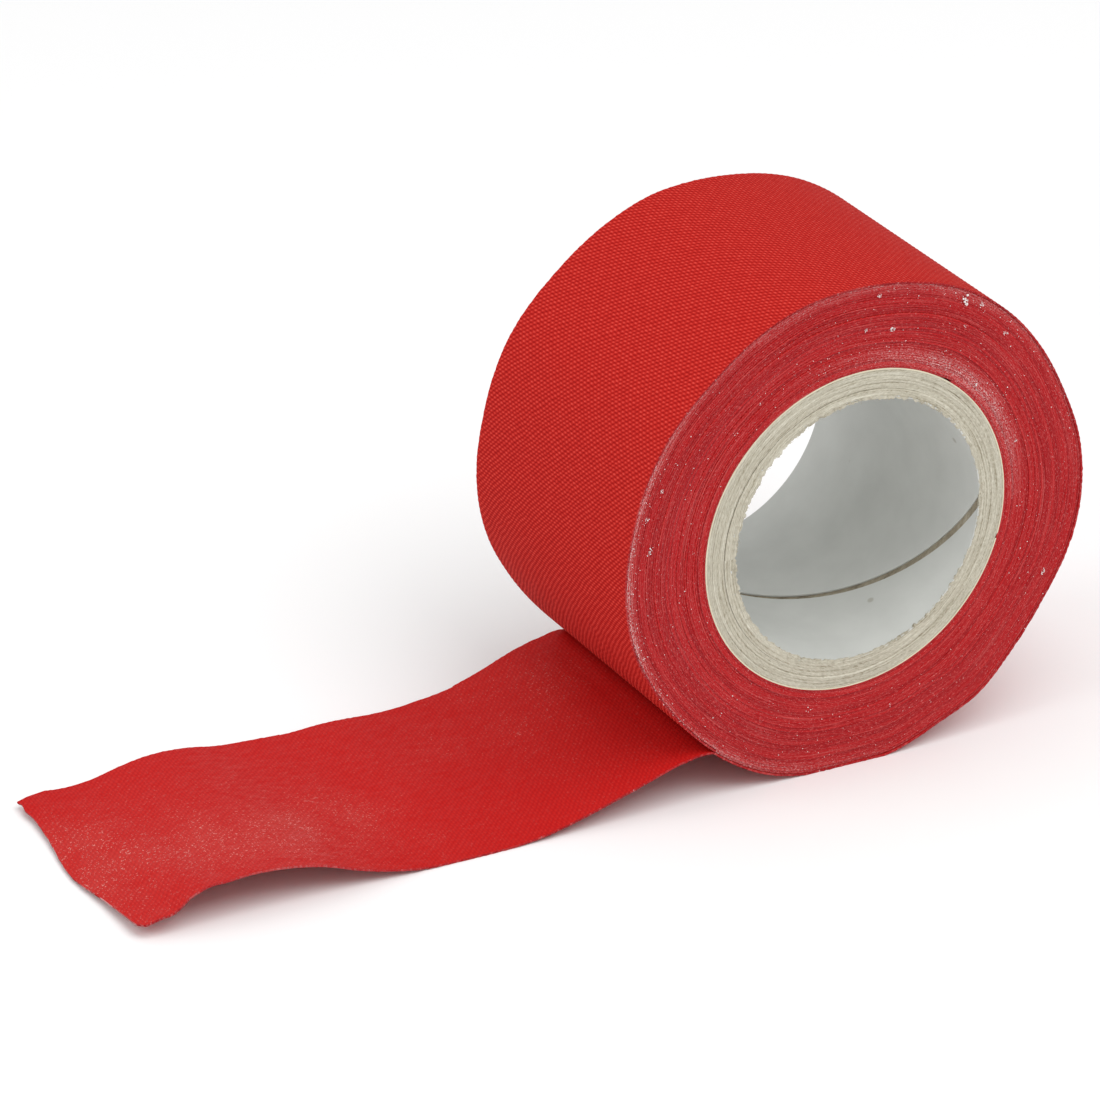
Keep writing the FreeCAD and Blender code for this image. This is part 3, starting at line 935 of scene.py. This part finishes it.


# %% [markdown]
# The four plies differ only in size and in how far their ends stand proud or short of the
# cut, in millimetres. The innermost one also has the torn lip of board that the knife pushed
# over the edge of the liner at the near end, and its inner wall behind the liner's seam is
# darker, as painted shade in the seam's gap.
# Fine and coarse relief goes on every end, and a stronger one on the lip. Each ply is a hair
# thicker than its CAD solid, so that no dark gap shows where they are glued.
# %% Plies of the core
GLUE_GAP = 0.03 * MM
PLY_PRESS = 0.024 * MM
PLY_ENDS = {"core_board_ply_1": 0.04, "core_board_ply_2": -0.03, "core_board_ply_3": 0.03,
            "core_board_ply_4": -0.01}
END_RELIEF = [0.05, -0.02, 0.03, -0.03, 0.02, 0.04]
LIP_EDGE_RELIEF = -0.03
LIP_SECTION = [(0, 0.6), (0.45, 0.25), (0.58, -0.02), (0.30, -0.06)]
END_GRAINS = [(0.16 * MM, 0.30 * MM), (0.22 * MM, 2.4 * MM)]
LIP_GRAINS = [(0.75 * MM, 0.9 * MM), (0.45 * MM, 0.25 * MM)]
LIP_SHIFT = (0.40 * MM, 0, 0)
EDGE_SHIFT = (0.06 * MM, 0, -0.02 * MM)


def ply_profile(inner, outer, proud, with_lip):
    """The section of a ply, with six rings across each end and a lip if it has one."""
    end = half_width + proud
    relief = [LIP_EDGE_RELIEF if with_lip else END_RELIEF[0]] + END_RELIEF[1:]
    near = [(inner + (outer - inner) * k / 5, -end + relief[k] * MM) for k in range(6)]
    far = [(radius, -y) for radius, y in near[::-1]]
    if not with_lip:
        return near + far
    lip = [(inner - inward * MM, deep * MM - half_width) for inward, deep in LIP_SECTION]
    return lip + near + far


first_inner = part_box("core_liner")[1].x + GLUE_GAP
ply_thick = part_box("core_board_ply_1")[1].x - first_inner
for ply_name, proud in PLY_ENDS.items():
    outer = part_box(ply_name)[1].x
    first = ply_name == "core_board_ply_1"
    profile = ply_profile(outer - ply_thick, outer + PLY_PRESS, proud * MM, first)
    ply = turned(ply_name + "_visual", profile)
    if first:
        shift_where(ply, lambda p: ring_radius(p) < first_inner - 0.1 * MM, LIP_SHIFT)
        shift_where(ply, lambda p: at_an_end(p) and ring_radius(p) > outer - 0.05 * MM, EDGE_SHIFT)
        for strength, grain in LIP_GRAINS:
            roughen(ply, lambda p: at_an_end(p) and ring_radius(p) < first_inner - 0.01 * MM,
                    "NORMAL", strength, grain)
    for strength, grain in END_GRAINS:
        roughen(ply, at_an_end, "Y", strength, grain)
    ply.data.materials.append(board)
    if first:
        # The inner wall, seen only through the liner's seam, gets the darker board as painted shade.
        ply.data.materials.append(seam_shade_board)
        for face in ply.data.polygons:
            on_wall = ring_radius(face.center) < first_inner + 0.01 * MM
            face.material_index = 1 if on_wall and abs(face.center.y) < 1 * MM else 0
    smooth_faces(ply, 60)
    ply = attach(ply, "roll")
    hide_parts(ply_name)
    print(ply_name, "outer radius", round(outer / MM, 2), "mm,", len(ply.data.polygons), "faces")

# %% [markdown]
# The knife also pulls single fibres out of the board, and lint has caught on the sides of the
# roll. Both are tiny shapes in great number, so each shape has only a few faces. They are
# added by operators to one mesh in edit mode, which makes one piece of them all. Hair
# particles could make the fibres too, but a plain mesh is simpler to export.
# %% Scattering small shapes
draw = np.random.default_rng(8)


def start_scatter(name):
    """An empty mesh in edit mode, for an operator to add small shapes to."""
    deselect_all()
    bpy.ops.mesh.primitive_cube_add(size=MM)
    made = bpy.context.object
    made.name = name
    bpy.ops.object.mode_set(mode="EDIT")
    bpy.ops.mesh.select_all(action="SELECT")
    bpy.ops.mesh.delete(type="VERT")
    return made


def finish_scatter(made, finish):
    """Leave edit mode, give the material and put the piece on the roll."""
    bpy.ops.object.mode_set(mode="OBJECT")
    made.data.materials.append(finish)
    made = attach(made, "roll")
    print(made.name, "has", len(made.data.polygons), "faces")


def around_axis(degrees, radius, y):
    """A place by its angle about the roll's axis, its distance from it and its y."""
    return Vector((radius * math.cos(math.radians(degrees)), y, radius * math.sin(math.radians(degrees))))


# %% [markdown]
# The fibres are thin cones. Half of them stand on the torn lip and lean into the bore, and the
# rest lie on both ends of the core.
# %% Board fibres
FIBRES = 420

fibres = start_scatter("board_fibres")
for number in range(FIBRES):
    angle = draw.uniform(0, 360)
    side = -1 if number % 3 else 1
    on_lip = side < 0 and number % 4 > 0
    reach = first_inner - draw.uniform(0.35, 0.62) * MM if on_lip else draw.uniform(19.4, 22.9) * MM
    place = around_axis(angle, reach, side * (half_width + draw.uniform(-0.15, 0.10) * MM))
    place = place + Vector(LIP_SHIFT if on_lip else (0, 0, 0))
    aim = around_axis(angle + 90, draw.normal(0, 0.8), side * draw.uniform(0, 0.5))
    aim = aim - around_axis(angle, draw.uniform(0.2, 1.0) if on_lip else 0, 0)
    turn = aim.to_track_quat("Z", "Y").to_euler()
    bpy.ops.mesh.primitive_cone_add(vertices=4, radius1=draw.uniform(0.02, 0.05) * MM, radius2=0.008 * MM,
                                    depth=draw.uniform(0.3, 0.9) * MM, location=place, rotation=turn)
finish_scatter(fibres, board)

# %% [markdown]
# The lint is made of small squashed balls. The larger clumps have set places, each with its
# angle, its distance from the axis and its size in millimetres. Many single specks lie
# between them, more where the side is dusty: each zone is a range of angles, a range of
# distances and a number of specks.
# %% Lint
LINT_CLUMPS = [(63.6, 33.5, 0.60), (58.7, 33.9, 0.32), (87, 33.3, 0.30), (90, 28.9, 0.26),
               (82, 28.4, 0.38), (337, 32.6, 0.34), (173, 31.6, 0.42), (48, 32.4, 0.34),
               (60, 30.6, 0.24), (158, 32.4, 0.30), (126, 26.7, 0.16), (45, 24.8, 0.30),
               (165, 33.2, 0.34), (18, 25.6, 0.22), (200, 33.9, 0.20)]
LINT_PINK = (0.66, 0.55, 0.53, 1)
LINT_WHITE = (0.93, 0.91, 0.90, 1)
LINT_ZONES = [(0, 360, 23.8, 34.4, 460), (20, 110, 23.6, 27.0, 150), (150, 235, 33.2, 34.5, 170),
              (10, 85, 33.0, 34.3, 100)]
SPECKS_IN_CLUMP = 16

lint_finish, lint_tree, lint_shader = new_material("lint")
lint_place = add_node(lint_tree, "ShaderNodeTexCoord").outputs["Object"]
lint_fluff = rescale(lint_tree, noise_at(lint_tree, lint_place, 6000.0, 2.0), 0.3, 0.7)
lint_colour = mix_colour(lint_tree, lint_fluff, LINT_PINK, LINT_WHITE)
lint_tree.links.new(lint_colour, lint_shader.inputs["Base Color"])
lint_shader.inputs["Roughness"].default_value = 1.0
lint = start_scatter("lint")
clumps = [(angle + draw.normal(0, 1.1) * size, radius + draw.normal(0, 0.5) * size,
           draw.uniform(0.12, 0.32) * size)
          for angle, radius, size in LINT_CLUMPS for _ in range(SPECKS_IN_CLUMP)]
strays = [(draw.uniform(first, last), draw.uniform(low, high), draw.uniform(0.025, 0.085))
          for first, last, low, high, count in LINT_ZONES for _ in range(count)]
for number, (angle, radius, size) in enumerate(clumps + strays):
    side = 1 if number % 3 == 0 and number > len(clumps) else -1
    place = around_axis(angle, radius * MM, side * (half_width + 0.02 * MM))
    bpy.ops.mesh.primitive_ico_sphere_add(subdivisions=1, radius=size * MM, location=place,
                                          scale=draw.uniform(0.4, 1.2, 3))
finish_scatter(lint, lint_finish)

# %% [markdown]
# The liner and the wrap are smooth paper tubes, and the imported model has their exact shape,
# with the open seam of the liner. They could be turned like the plies, but the seam would then
# have to be cut again, so they stay as they are and only get their finishes.
# %% Liner and wrap
def finish_node(node, finish):
    """One material on a whole CAD node."""
    node.data.materials.clear()
    node.data.materials.append(finish)


finish_node(frame["nodes"]["core_liner"], liner_paper)
finish_node(frame["nodes"]["core_outer_wrap"], wrap_paper)
print("gave the liner", liner_paper.name, "and the wrap", wrap_paper.name)
